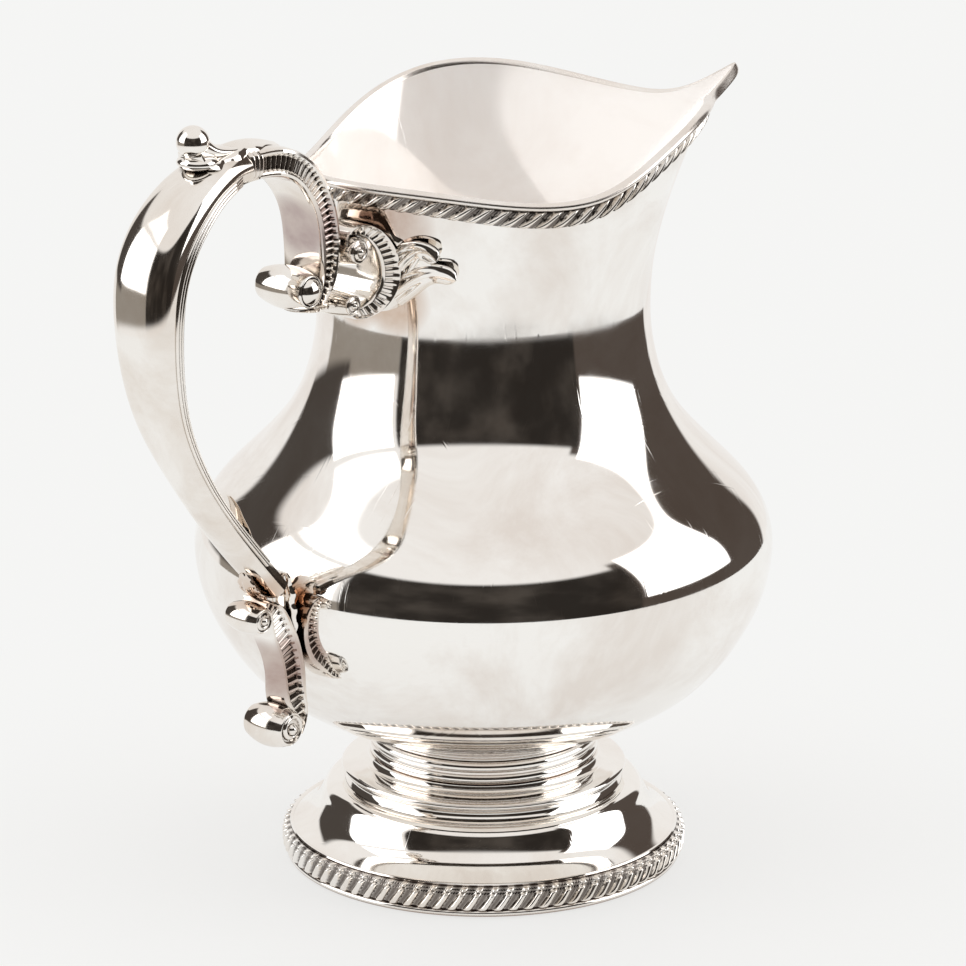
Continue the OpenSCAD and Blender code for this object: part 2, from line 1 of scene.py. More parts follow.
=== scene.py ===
"""Looks of the footed silver water pitcher, built round its CAD frame.

Lengths are in millimetres about the bowl's axis: Z up from the table, +X toward the spout, -X toward
the handle. piece() turns them into metres and moves them to where the CAD has the bowl's axis.
"""
import bpy, bmesh, math
import numpy as np
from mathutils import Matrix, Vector


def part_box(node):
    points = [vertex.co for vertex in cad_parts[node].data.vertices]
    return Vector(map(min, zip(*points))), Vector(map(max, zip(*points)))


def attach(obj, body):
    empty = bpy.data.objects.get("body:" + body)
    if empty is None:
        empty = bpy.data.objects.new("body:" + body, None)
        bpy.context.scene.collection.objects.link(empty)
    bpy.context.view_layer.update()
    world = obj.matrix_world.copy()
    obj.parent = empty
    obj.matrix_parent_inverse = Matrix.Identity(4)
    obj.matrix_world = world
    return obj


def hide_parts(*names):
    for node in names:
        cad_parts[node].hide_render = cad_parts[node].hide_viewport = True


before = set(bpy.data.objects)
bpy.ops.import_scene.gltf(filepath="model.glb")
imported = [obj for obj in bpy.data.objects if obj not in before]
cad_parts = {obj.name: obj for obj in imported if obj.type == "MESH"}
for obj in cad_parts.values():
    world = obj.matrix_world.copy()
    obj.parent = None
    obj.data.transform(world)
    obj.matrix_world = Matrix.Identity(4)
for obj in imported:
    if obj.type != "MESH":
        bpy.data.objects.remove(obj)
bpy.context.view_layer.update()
TAU = 2 * math.pi
ring_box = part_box("foot_base_ring")
AXIS = (ring_box[0][0] + ring_box[1][0]) / 2      # metres: the bowl's axis stands at this x, y = 0


# ---------------------------------------------------------------- curves and grids
def natural(knots, at):
    """Matrix that takes values at the knots to a natural cubic spline's values at the given places."""
    n = len(knots)
    gap = np.diff(knots)
    left, right = np.zeros((n, n)), np.zeros((n, n))
    left[0, 0] = left[-1, -1] = 1
    for i in range(1, n - 1):
        left[i, i - 1:i + 2] = gap[i - 1], 2 * (gap[i - 1] + gap[i]), gap[i]
        right[i, i - 1:i + 2] = 6 / gap[i - 1], -6 / gap[i - 1] - 6 / gap[i], 6 / gap[i]
    bend = np.linalg.solve(left, right)
    value = np.eye(n)
    k = np.clip(np.searchsorted(knots, at, side="right") - 1, 0, n - 2)
    ahead, behind, span = (x[:, None] for x in (knots[k + 1] - at, at - knots[k], gap[k]))
    return (ahead / span * value[k] + behind / span * value[k + 1]
            + (ahead ** 3 / (6 * span) - ahead * span / 6) * bend[k]
            + (behind ** 3 / (6 * span) - behind * span / 6) * bend[k + 1])


def chord(points, power=1.0):
    """Distance travelled along the points, with each step raised to a power."""
    steps = np.linalg.norm(np.diff(np.asarray(points, float), axis=0), axis=1)
    return np.concatenate([[0], np.cumsum(steps ** power)])


def smooth(points, n, place_columns=2):
    """n rows, evenly spaced along a natural spline through the points; the first columns are a place."""
    points = np.asarray(points, float)
    knots = chord(points[:, :place_columns])
    fine = natural(knots, np.linspace(0, knots[-1], 40 * len(points))) @ points
    travelled = chord(fine[:, :place_columns])
    at = np.linspace(0, travelled[-1], n)
    return np.stack([np.interp(at, travelled, column) for column in fine.T], 1)


def arc(centre_r, centre_z, radius, start, end, n):
    """n points of (radius, height) on an arc, with its angles in degrees."""
    angles = np.radians(np.linspace(start, end, n))
    return [(centre_r + radius * math.cos(x), centre_z + radius * math.sin(x)) for x in angles]


def crown(w, power=6):
    """Rounded profile across a band: 0 at w = 0 and 1, and nearly flat between."""
    return math.sqrt(max(0, 1 - (2 * w - 1) ** power))


def grid_faces(rows, cols, wrap_rows=False, wrap_cols=True):
    """Quads over a grid of points that lie row after row."""
    i, j = np.meshgrid(np.arange(rows if wrap_rows else rows - 1),
                       np.arange(cols if wrap_cols else cols - 1), indexing="ij")
    next_i, next_j = (i + 1) % rows, (j + 1) % cols
    corners = [i * cols + j, i * cols + next_j, next_i * cols + next_j, next_i * cols + j]
    return np.stack(corners, -1).reshape(-1, 4)


def join_grids(parts):
    """Several (verts, faces) as one."""
    verts, faces, n = [], [], 0
    for part_verts, part_faces in parts:
        verts.append(np.asarray(part_verts, float).reshape(-1, 3))
        faces += [tuple(int(i) + n for i in face) for face in part_faces]
        n += len(verts[-1])
    return np.concatenate(verts), faces


def mirrored(verts, faces):
    """The same skin on the other side of y = 0."""
    other = np.array(verts, float)
    other[:, 1] *= -1
    return other, [tuple(reversed(tuple(face))) for face in faces]


def lathe(outline, n):
    """Turned surface through a closed outline of (radius, height)."""
    outline = np.asarray(outline, float)
    a = np.linspace(0, TAU, n, endpoint=False)
    r, z = outline[:, 0, None], np.repeat(outline[:, 1, None], n, 1)
    return np.stack([r * np.cos(a), r * np.sin(a), z], -1).reshape(-1, 3), grid_faces(len(outline), n)


def tube(rings):
    """Closed skin over stations of rings, with a fan at each end."""
    n, m = rings.shape[:2]
    verts = np.concatenate([rings.reshape(-1, 3), rings[:1].mean(1), rings[-1:].mean(1)])
    faces = [tuple(x) for x in grid_faces(n, m)]
    faces += [(n * m, (j + 1) % m, j) for j in range(m)]
    faces += [(n * m + 1, (n - 1) * m + j, (n - 1) * m + (j + 1) % m) for j in range(m)]
    return verts, faces


def sweep(path, section, n):
    """Skin along a path of (x, z, half thickness, half width) stations in the plane y = 0.

    section(s, thick, wide) gives rows of (offset to the path's side, y) at the share s of the path.
    """
    stations = smooth(path, n)
    along = np.gradient(stations[:, :2], axis=0)
    along /= np.linalg.norm(along, axis=1, keepdims=True)
    rings = []
    for i, (x, z, thick, wide) in enumerate(stations):
        rows = np.asarray(section(i / (n - 1), thick, wide))
        side_x, side_z = along[i, 1], -along[i, 0]
        rings.append(np.stack([x + side_x * rows[:, 0], rows[:, 1], z + side_z * rows[:, 0]], 1))
    return tube(np.array(rings))


def piece(name, verts, faces, mat, slot, replaces, crease=38, gap_shade=None):
    """Mesh of the visual model that stands for the CAD nodes named in replaces; crease is in degrees."""
    me = bpy.data.meshes.new(name)
    metres = np.asarray(verts, float) / 1000 + (AXIS, 0, 0)
    me.from_pydata(metres.tolist(), [], [tuple(int(v) for v in f) for f in faces])
    bm = bmesh.new()
    bm.from_mesh(me)
    bmesh.ops.remove_doubles(bm, verts=bm.verts, dist=1e-7)
    bmesh.ops.recalc_face_normals(bm, faces=bm.faces)
    bm.to_mesh(me)
    bm.free()
    me.polygons.foreach_set("use_smooth", [True] * len(me.polygons))
    me.set_sharp_from_angle(angle=math.radians(crease))
    # per-point painted shade between lobes, which the material darkens by
    if gap_shade is not None:
        values = np.asarray(gap_shade, np.float32).ravel()
        me.attributes.new("gap_shade", "FLOAT", "POINT").data.foreach_set("value", values)
    ob = bpy.data.objects.new(name, me)
    bpy.context.scene.collection.objects.link(ob)
    me.materials.append(mat)
    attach(ob, "root")
    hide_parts(*replaces)
    return ob


# ---------------------------------------------------------------- shader nodes
MIX_FIRST, MIX_SECOND, MIX_COLOUR = 6, 7, 2       # the colour sockets of a Mix node


def node(tree, kind, inputs, **settings):
    """New shader node. An input that is another node's output is linked; any other value is set."""
    made = tree.nodes.new("ShaderNode" + kind)
    for name, value in settings.items():
        setattr(made, name, value)
    for key, value in inputs.items():
        if isinstance(value, bpy.types.NodeSocket):
            tree.links.new(value, made.inputs[key])
        else:
            made.inputs[key].default_value = value
    return made


def calculate(tree, operation, *values, clamp=False):
    """Result of a Math node."""
    return node(tree, "Math", dict(enumerate(values)), operation=operation, use_clamp=clamp).outputs[0]


def remap(tree, value, low, high, to_low=0.0, to_high=1.0, curve="LINEAR"):
    """Value taken from one range to another, and held at the ends."""
    inputs = {"Value": value, "From Min": low, "From Max": high, "To Min": to_low, "To Max": to_high}
    return node(tree, "MapRange", inputs, interpolation_type=curve).outputs["Result"]


def mix(tree, share, first, second):
    """Colour between two colours, each of them an output or a red, green, blue value."""
    colours = [(*c, 1) if isinstance(c, tuple) else c for c in (first, second)]
    inputs = {"Factor": share, MIX_FIRST: colours[0], MIX_SECOND: colours[1]}
    return node(tree, "Mix", inputs, data_type="RGBA").outputs[MIX_COLOUR]


def noise(tree, place, scale, detail, roughness=0.5, distortion=0.0):
    """Cloudy noise between 0 and 1."""
    inputs = {"Vector": place, "Scale": scale, "Detail": detail, "Roughness": roughness,
              "Distortion": distortion}
    return node(tree, "TexNoise", inputs).outputs["Fac"]


def bump(tree, height, strength, depth, under):
    """Surface relief, depth in metres, on top of the relief that is under it, if any."""
    inputs = {"Height": height, "Strength": strength, "Distance": depth}
    if under:
        inputs["Normal"] = under
    return node(tree, "Bump", inputs).outputs["Normal"]


def new_material(name):
    """Material, its node tree and its shader."""
    material = bpy.data.materials.new(name)
    material.use_nodes = True
    return material, material.node_tree, material.node_tree.nodes["Principled BSDF"]


# ---------------------------------------------------------------- silver
def stained(tree, place, cloud, colour, centre, reach, stain):
    """Cloudy spot of tarnish that fades out at its reach from the centre."""
    centre_metres = (centre[0] / 1000 + AXIS, centre[1] / 1000, centre[2] / 1000)
    away = node(tree, "VectorMath", {0: place, 1: centre_metres}, operation="DISTANCE").outputs["Value"]
    near = remap(tree, away, reach / 1000, reach / 3000, curve="SMOOTHSTEP")
    patch = calculate(tree, "MULTIPLY", near, cloud)
    return mix(tree, remap(tree, patch, 0.2, 0.62), colour, stain)


def painted_shade_in_hollows(tree, colour, hollow_shade, groove):
    """Painted shade in hollows: darker where the surface is closed in, by ambient occlusion, and where a
    border's per-point shade between the lobes says so.
    """
    shade = node(tree, "AmbientOcclusion", {"Distance": groove / 1000}, samples=6).outputs["AO"]
    gap_shade = node(tree, "Attribute", {}, attribute_name="gap_shade").outputs["Fac"]
    unshaded = calculate(tree, "SUBTRACT", remap(tree, shade, 0.3, 0.72), gap_shade, clamp=True)
    return mix(tree, unshaded, hollow_shade, colour)


def scratched(tree, place, strength, under):
    """Hairline wear: two sets of stretched noise, thresholded to thin lines."""
    for turn, stretch in (((0.3, 0.2, 0.9), (9, 900, 60)), ((1.1, 0.5, 2.1), (700, 12, 40))):
        drawn = node(tree, "Mapping", {"Vector": place, "Rotation": turn, "Scale": stretch}).outputs["Vector"]
        lines = remap(tree, noise(tree, drawn, 1.0, 2.0), 0.66, 0.72)
        under = bump(tree, lines, strength, 0.00004, under)
    return under


def silver(name, base, tarnish, rough, hollow_shade=None, groove=1.2, mottle=0.0, scratch=0.0, spots=()):
    """Polished silver. base and tarnish: its colours; rough: range of roughness; hollow_shade and groove:
    colour and reach, in mm, of the painted shade in hollows; mottle and scratch: strength of the relief."""
    material, tree, shader = new_material(name)
    place = node(tree, "TexCoord", {}).outputs["Object"]
    cloud = noise(tree, place, 26.0, 5.0, 0.62, 0.5)
    ramp = node(tree, "ValToRGB", {"Fac": cloud})
    for stop, position, tint in zip(ramp.color_ramp.elements, (0.36, 0.6), (tarnish, base)):
        stop.position = position
        stop.color = (*tint, 1)
    colour = ramp.outputs["Color"]
    for centre, reach, stain in spots:
        colour = stained(tree, place, cloud, colour, centre, reach, stain)
    # painted shade: hollows darkened toward the given colour
    if hollow_shade:
        colour = painted_shade_in_hollows(tree, colour, hollow_shade, groove)
    relief = None
    if scratch:
        relief = scratched(tree, place, scratch, relief)
    if mottle:
        relief = bump(tree, noise(tree, place, 16.0, 1.5), mottle, 0.0004, relief)
    wear = remap(tree, noise(tree, place, 60.0, 8.0), 0.3, 0.7, *rough)
    shader.inputs["Metallic"].default_value = 1.0
    tree.links.new(colour, shader.inputs["Base Color"])
    tree.links.new(wear, shader.inputs["Roughness"])
    if relief:
        tree.links.new(relief, shader.inputs["Normal"])
    return material


BROWN, DARK_BROWN, RUST = (0.62, 0.46, 0.35), (0.48, 0.33, 0.25), (0.45, 0.26, 0.15)
PURPLE, MAUVE = (0.30, 0.19, 0.185), (0.42, 0.3, 0.26)
BODY_STAINS = (                                   # centre, reach, colour: beside the handle's mounts
    ((-51, -8, 178), 17, BROWN),
    ((-58, -12, 200), 22, DARK_BROWN),
    ((-86, 0, 97), 14, RUST),
    ((-51, 8, 178), 17, BROWN),
)
CAST_STAINS = (                                   # on the upper scroll, by the pad, on the lower scroll
    ((-76, 0, 205), 17, PURPLE),
    ((-98, 0, 104), 13, BROWN),
    ((-90, 0, 79), 17, MAUVE),
)
BODY = silver("silver_raised", (0.955, 0.935, 0.905), (0.83, 0.775, 0.725), (0.02, 0.08),
              mottle=0.07, scratch=0.14, spots=BODY_STAINS)
# the dark colours given for hollows in TURNED, CAST and CHASED are painted shade
TURNED = silver("silver_turned", (0.95, 0.925, 0.89), (0.88, 0.83, 0.78), (0.03, 0.08),
                hollow_shade=(0.30, 0.22, 0.17), groove=2.0, mottle=0.04, scratch=0.08)
WORN = silver("silver_worn_edge", (0.92, 0.88, 0.84), (0.82, 0.75, 0.69), (0.16, 0.3), scratch=0.15)
CAST = silver("silver_cast", (0.93, 0.90, 0.86), (0.79, 0.72, 0.65), (0.05, 0.12),
              hollow_shade=(0.085, 0.062, 0.045), groove=1.6, mottle=0.05, spots=CAST_STAINS)
SMOOTH = silver("silver_cast_smooth", (0.95, 0.925, 0.89), (0.87, 0.82, 0.765), (0.04, 0.1),
                mottle=0.04, scratch=0.08)
CHASED = silver("silver_chased", (0.94, 0.91, 0.875), (0.85, 0.79, 0.72), (0.07, 0.16),
                hollow_shade=(0.07, 0.05, 0.04), groove=1.1)

# the inside looks cloudy and bright: here it is mostly non-metal, and it glows faintly, a glow that is
# painted light
LINING = silver("silver_lining", (0.98, 0.955, 0.93), (0.90, 0.85, 0.81), (0.05, 0.12),
                mottle=0.08, scratch=0.2)
lining_shader = LINING.node_tree.nodes["Principled BSDF"]
lining_shader.inputs["Metallic"].default_value = 0.2
# painted light: the inside glows faintly of its own
lining_shader.inputs["Emission Color"].default_value = (1, 0.95, 0.91, 1)
lining_shader.inputs["Emission Strength"].default_value = 0.15

# ---------------------------------------------------------------- vessel
WALL = 1.0                                        # thickness of the sheet
NECK_RADIUS, NECK_HEIGHT = 48.0, 170.0            # where the flare to the rim starts
FLARE = 1.6                                       # 1: spread by the square of the height, above 1: sooner
BOWL = [(33.0, 41.4), (38.1, 42.3), (42.6, 43.5), (46.4, 44.9), (49.6, 46.4), (52.8, 48.1), (56.4, 50.2),
        (60.4, 52.8), (64.2, 55.7), (68.0, 59.4), (72.3, 64.4), (76.6, 71.0), (80.9, 79.8), (83.6, 89.9),
        (83.6, 100.0), (79.3, 110.2), (71.6, 118.9), (62.9, 127.6), (55.9, 136.3), (51.7, 145.0),
        (49.3, 153.7), (48.1, 162.4)]             # radius, height of the outer face
RIM_HALF = [(116.8, 0, 215.6), (100.3, 5.4, 211.1), (85.5, 13.8, 211.8), (70.4, 25.6, 217),
            (53.8, 39, 221.8), (34.1, 50.5, 221.8), (10.9, 54.6, 215.2), (-10.9, 51.2, 207.1),
            (-30.4, 40.8, 206.6), (-48.6, 24.3, 210.2), (-61.2, 0, 212.8)]    # spout round to the handle
RIM_POINTS, WALL_ROWS = 400, 150                  # of the grid: round the rim, and up the wall


def rim_line():
    """Evenly spaced points once round the rim, and its length. The spline goes round three times and
    only its middle turn is used, so it is smooth where it closes."""
    loop = np.array(RIM_HALF + [(x, -y, z) for x, y, z in RIM_HALF[-2:0:-1]], float)
    turns = np.concatenate([loop, loop, loop, loop[:1]])
    knots = chord(turns, 0.6)
    n = len(loop)
    fine = natural(knots, np.linspace(knots[n], knots[2 * n], 4801)) @ turns
    travelled = chord(fine)
    at = np.linspace(0, travelled[-1], RIM_POINTS, endpoint=False)
    return np.stack([np.interp(at, travelled, column) for column in fine.T], 1), travelled[-1]


def flare(u):
    """Share of the spread from the neck to the rim that is reached at a share u of the height."""
    return FLARE * u ** 2 - (FLARE - 1) * u ** 3


def outer_face():
    """Grid of points: turned from the foot to the neck, then spread to the rim."""
    bowl = np.array(BOWL)
    rim_radius = np.hypot(rim[:, 0], rim[:, 1])
    u = np.array([0.0, 0.17, 0.34, 0.5, 0.66, 0.83, 1.0])[:, None]
    radius = np.concatenate([np.repeat(bowl[:, :1], RIM_POINTS, 1),
                             NECK_RADIUS + (rim_radius - NECK_RADIUS) * flare(u)])
    height = np.concatenate([np.repeat(bowl[:, 1:], RIM_POINTS, 1),
                             NECK_HEIGHT + (rim[:, 2] - NECK_HEIGHT) * u])
    knots = chord(np.stack([radius.mean(1), height.mean(1)], 1), 0.8)
    to_rows = natural(knots, np.linspace(0, knots[-1], WALL_ROWS))
    angle = np.arctan2(rim[:, 1], rim[:, 0])
    r, z = to_rows @ radius, to_rows @ height
    return np.stack([r * np.cos(angle), r * np.sin(angle), z], -1)


def grid_normals(grid):
    """Outward directions on a grid that closes round its rows."""
    across = np.roll(grid, -1, 1) - np.roll(grid, 1, 1)
    normal = np.cross(across, np.gradient(grid, axis=0))
    return normal / np.linalg.norm(normal, axis=-1, keepdims=True)


def make_vessel():
    """Outer face up to the rim, inner face down again, and a fan over each side of the bottom."""
    skin = np.concatenate([outer, (outer - normals * WALL)[::-1]]).reshape(-1, 3)
    bottom = BOWL[0][1]
    verts = np.concatenate([skin, [[0, 0, bottom], [0, 0, bottom + WALL]]])
    n = RIM_POINTS
    inside, last = (WALL_ROWS - 1) * n, (2 * WALL_ROWS - 1) * n
    faces = [tuple(x) for x in grid_faces(2 * WALL_ROWS, n)]
    faces += [(len(verts) - 2, (j + 1) % n, j) for j in range(n)]
    faces += [(len(verts) - 1, last + j, last + (j + 1) % n) for j in range(n)]
    vessel = piece("vessel", verts, faces, BODY, "sheet_silver", ["vessel_body"], 70)
    vessel.data.materials.append(LINING)
    for face in vessel.data.polygons:
        if inside <= face.index < last:
            face.material_index = 1


rim, rim_length = rim_line()
outer = outer_face()
normals = grid_normals(outer)
rim_out = normals[-1]
rim_up = outer[-1] - outer[-4]
rim_up /= np.linalg.norm(rim_up, axis=1, keepdims=True)
make_vessel()

# half-round wire along the lip: rows of (outward, upward) from the rim's line
WIRE = np.array([(-1.05, -0.6), (-1.12, 0.5), (-0.95, 1.05), (-0.5, 1.42), (0.2, 1.62), (0.9, 1.58),
                 (1.4, 1.36), (1.74, 1.0), (1.88, 0.6), (1.84, 0.1), (1.6, -0.3), (1.2, -0.5), (0, -0.6)])
wire = rim[:, None] + rim_out[:, None] * WIRE[None, :, :1] + rim_up[:, None] * WIRE[None, :, 1:]
piece("lip_wire", wire.reshape(-1, 3), grid_faces(RIM_POINTS, len(WIRE), True), WORN, "sheet_silver",
      ["rim_wire"])

# ---------------------------------------------------------------- lobed borders
REEDS, REED_HEIGHT = 3, 0.16                      # fine reeds between two lobes, height against a lobe


def lobe_height(phase, width):
    """Height over one repeat, phase 0 to 1: a full lobe over the first share, width, and then reeds."""
    full = np.clip(1 - np.abs((phase - width / 2) / (width / 2)) ** 2.6, 0, 1) ** 0.75
    rest = np.clip((phase - width) / (1 - width), 0, 1)
    reeds = REED_HEIGHT * np.abs(np.sin(rest * math.pi * REEDS)) ** 0.7
    return np.where(phase < width, full, reeds)


def gap_shade_of(phase, width):
    """Painted shade between the lobes: none on a lobe, most midway between two."""
    gap = np.clip(1 - np.abs((phase - (1 + width) / 2) / ((1 - width) / 2)) ** 2, 0, 1)
    edge = np.clip((phase - width + 0.05) / 0.05, 0, 1) * np.clip((1.0 - phase) / 0.03, 0, 1)
    return (0.45 + 0.4 * gap) * edge


def make_rim_border():
    """Slanted lobes on a band that follows the wall down from the wire."""
    pitch, per_lobe, rows_across = 5.05, 22, 26
    top_edge, low_edge, height, slant = 0.7, 5.9, 1.8, 1.2
    lobes = round(rim_length / pitch)
    n = lobes * per_lobe
    share = np.arange(n) / n
    before = np.floor(share * RIM_POINTS).astype(int)
    part = (share * RIM_POINTS - before)[:, None]

    def round_the_rim(row):
        return row[before] * (1 - part) + row[(before + 1) % RIM_POINTS] * part

    wall = np.stack([round_the_rim(outer[-1 - j]) for j in range(12)])
    steps = np.linalg.norm(np.diff(wall, axis=0), axis=2)
    down = np.concatenate([[np.zeros(n)], np.cumsum(steps, axis=0)])
    edge, outward, all_points = round_the_rim(rim), round_the_rim(rim_out), np.arange(n)
    rows, gap_shade = [], []
    for j in range(rows_across):
        w = j / (rows_across - 1)                 # 0 at the top
        depth = top_edge + w * (low_edge - top_edge)
        k = np.clip((down < depth).sum(0) - 1, 0, len(wall) - 2)
        at = ((depth - down[k, all_points]) / (down[k + 1, all_points] - down[k, all_points]))[:, None]
        base = wall[k, all_points] * (1 - at) + wall[k + 1, all_points] * at
        width = 0.50 + 0.14 * w
        phase = (share * lobes + slant * w + 0.5 * width) % 1
        swell = (0.05 + 0.95 * lobe_height(phase, width)) * (0.7 + 0.3 * math.sin(math.pi * w))
        rows.append(base + outward * (crown(w) * (0.1 + height * swell))[:, None])
        # painted shade between the lobes
        gap_shade.append(gap_shade_of(phase, width))
    grid = np.stack([edge - outward * 0.3] + rows + [rows[-1] - outward * 0.5], 1)
    gap_shade = np.stack([0 * share] + gap_shade + [0 * share], 1)
    piece("lip_gadroons", grid.reshape(-1, 3), grid_faces(n, rows_across + 2, True), CHASED,
          "chased_silver", ["rim_gadroon_border"], 60, gap_shade)


def make_foot_border():
    """Leaning lobes round the foot, each with a nick below its top."""
    lobes, per_lobe, rows_across = 82, 24, 30
    low, high, inner, radius, height = 1.9, 9.0, 55.0, 57.0, 1.5
    n = lobes * per_lobe
    angle = np.arange(n) / n * TAU

    def ring_at(r, z):
        return np.stack([r * np.cos(angle), r * np.sin(angle), np.full(n, z)], 1)

    rows, gap_shade = [], []
    for j in range(rows_across):
        w = j / (rows_across - 1)                 # 0 at the bottom
        width = 0.62 - 0.2 * w
        lean = 0.95 * w ** 1.25 + 0.12 * math.sin(math.pi * w)
        phase = (angle / TAU * lobes - lean + 0.5 * width) % 1
        nick = 1 - 0.75 * math.exp(-((w - 0.8) / 0.055) ** 2)
        swell = 0.05 + 0.95 * lobe_height(phase, width) * nick
        rows.append(ring_at(radius + 0.9 * crown(w, 4) + height * crown(w) * swell, low + (high - low) * w))
        # painted shade between the lobes
        gap_shade.append(gap_shade_of(phase, width))
    grid = np.stack([ring_at(inner, low)] + rows + [ring_at(inner, high)])
    gap_shade = np.stack([0 * angle] + gap_shade + [0 * angle])
    piece("foot_gadroons", grid.reshape(-1, 3), grid_faces(rows_across + 2, n, True), CHASED,
          "chased_silver", ["foot_gadroon_border"], 60, gap_shade)


make_rim_border()
make_foot_border()

# ---------------------------------------------------------------- turned foot
# Points are (radius, height). Each outline closes on its first point; a face is an open line.
FOOT_INSIDE, STEM_INSIDE = 53.9, 30.4
STEM_CORE = 31.85                                 # centre of the stem's two rings
RING = ([(FOOT_INSIDE, 0.0), (57.2, 0.0)] + arc(57.2, 1.0, 1.0, -90, 90, 13)
        + [(55.4, 2.2), (FOOT_INSIDE, 2.2), (FOOT_INSIDE, 0.0)])
SPREAD_FACE = smooth([(42.3, 22.8), (44.6, 22.4), (46.5, 20.7), (47.5, 18.6), (48.6, 16.4), (50.1, 14.1),
                      (52.7, 11.8), (56.0, 9.7)], 60).tolist()
SPREAD_FILLET = [(56.2, 9.75), (56.5, 9.9), (56.9, 9.85), (57.1, 9.5), (56.9, 9.1), (56.0, 8.9), (54.9, 8.9)]
SPREAD_BACK = [(r - 1.4, z - 0.8) for r, z in SPREAD_FACE[::-1]]
STEP_FACE = smooth([(40.7, 22.8), (39.9, 23.9), (39.7, 25.0), (40.6, 25.7), (41.5, 26.4), (41.8, 27.2),
                    (41.3, 27.9), (40.3, 28.3), (38.0, 28.55), (35.6, 28.7)], 60).tolist()
STEM = ([(STEM_INSIDE, 28.3), (35.5, 28.6)] + arc(35.6, 31.0, 2.3, 262, 184, 14)
        + arc(STEM_CORE, 32.6, 1.75, -62, 62, 16) + arc(STEM_CORE, 36.2, 1.75, -62, 62, 16)
        + [(32.2, 38.0), (STEM_INSIDE, 38.1), (STEM_INSIDE, 28.3)])
COLLAR = [(STEM_INSIDE, 38.1), (32.4, 38.1)]
for bead_height in (38.6, 39.4, 40.2, 41.0):
    COLLAR += arc(32.4, bead_height, 0.38, -75, 75, 7)
COLLAR += [(32.4, 41.6), (STEM_INSIDE, 41.6), (STEM_INSIDE, 38.1)]

for name, replaced, outline, around in (
        ("foot_ring", "foot_base_ring", RING, 256),
        ("foot_spread", "foot_dome",
         [(38.6, 22.6)] + SPREAD_FACE + SPREAD_FILLET + SPREAD_BACK + [(38.6, 22.6)], 320),
        ("foot_step", "foot_ledge", [(32.6, 22.8)] + STEP_FACE + [(32.6, 28.5), (32.6, 22.8)], 256),
        ("foot_neck", "foot_stem", STEM, 256),
        ("foot_rings", "foot_collar", COLLAR, 256)):
    piece(name, *lathe(outline, around), TURNED, "sheet_silver", [replaced])

# ---------------------------------------------------------------- grip
# Stations of x, z, half thickness, half width, from the upper scroll round to the belly.
GRIP = [(-101, 226.4, 4.1, 6.2), (-110, 226.4, 4.2, 7.6), (-119.5, 223.7, 4.7, 9.2), (-128, 218.3, 5.1, 10.2),
        (-135, 210.9, 5.4, 10.6), (-139.2, 202.5, 5.4, 10.6), (-140.8, 192.5, 5.2, 10.2),
        (-140.5, 182, 4.9, 9.6), (-138.8, 171, 4.5, 8.8), (-135.4, 160, 4, 7.8), (-129.4, 148.5, 3.5, 6.7),
        (-121.8, 137, 3.1, 6.1), (-111.8, 124.3, 3.1, 6), (-100.8, 112, 3.1, 5.8), (-92.5, 103.2, 3, 5.2)]
SHOULDER = 0.28                                   # depth of the widest line, as a share of thickness
SQUARENESS = 0.77                                 # 1 is an ellipse, less is squarer


def grip_section(s, thick, wide):
    """D shape: a squarish round back, and a nearly flat face with small corners."""
    a = np.linspace(0, math.pi, 41)
    c = np.cos(a)
    back = np.stack([thick * (-SHOULDER + (1 + SHOULDER) * np.sin(a) ** SQUARENESS),
                     wide * np.sign(c) * np.abs(c) ** SQUARENESS], 1)
    w = np.linspace(-1, 1, 15)
    face = np.stack([-thick * (0.94 + 0.04 * (1 - w ** 2)), 0.93 * wide * w], 1)
    corner = (0.6 * thick, 0.97 * wide)
    return np.concatenate([back, [(-corner[0], -corner[1])], face, [(-corner[0], corner[1])]])


def reed_section(s, thick, wide):
    """Three reeds side by side on the grip's flank, rising out of it at the start of the path."""
    span = (1 - SHOULDER) / 3
    rows = [(-SHOULDER * thick, 0.9 * wide)]
    rise = 0.72 * min(1, (s + 0.02) / 0.05)
    for k in range(3):
        middle = -SHOULDER - span * (k + 0.5)
        foot = wide * (1 - 0.025 * k) - 0.12
        for a in np.radians(np.linspace(12, 168, 11)):
            rows.append((thick * (middle + span / 2 * math.cos(a)), foot + rise * math.sin(a)))
    return rows + [(-1.02 * thick, 0.88 * wide)]


piece("handle_bow", *sweep(GRIP, grip_section, 200), CAST, "cast_silver", ["handle_grip"])
reeds = sweep(GRIP[1:-1], reed_section, 160)
piece("grip_reeds_l", *reeds, CHASED, "chased_silver", ["grip_reeds_left"])
piece("grip_reeds_r", *mirrored(*reeds), CHASED, "chased_silver", ["grip_reeds_right"])

# ---------------------------------------------------------------- scrolls
UPPER_SCROLL = [(-101, 226.4, 4.1, 6.2), (-92.6, 225.8, 4.3, 6.9), (-85.6, 222.8, 4.3, 7.3),
                (-80, 217.5, 4.3, 7.3), (-76.3, 211.5, 4.2, 7.3), (-74.3, 205, 4.2, 7.3),
                (-73.6, 198.5, 4.1, 7.3), (-73.8, 192.6, 3.6, 7.3), (-75.3, 187.4, 2.5, 7.3),
                (-78, 183.4, 1.3, 7.3)]
GRIP_HEAD = [(-104.6, 226.5, 3.9, 6.2), (-102, 226.5, 4.05, 6.4), (-99.6, 226.4, 3.9, 6.2)]
LOWER_SCROLL = [(-98.6, 100.8, 1, 4.7), (-94.8, 97.6, 3.0, 4.3), (-91.8, 91.6, 4.8, 3.7),
                (-89, 86, 5.1, 3.5), (-87.2, 80.6, 5.2, 3.4), (-86.4, 75.2, 5.2, 3.5), (-86, 70, 4.7, 3.9),
                (-84.4, 64.6, 2.6, 4.5), (-85.6, 59.6, 1.1, 4.7)]
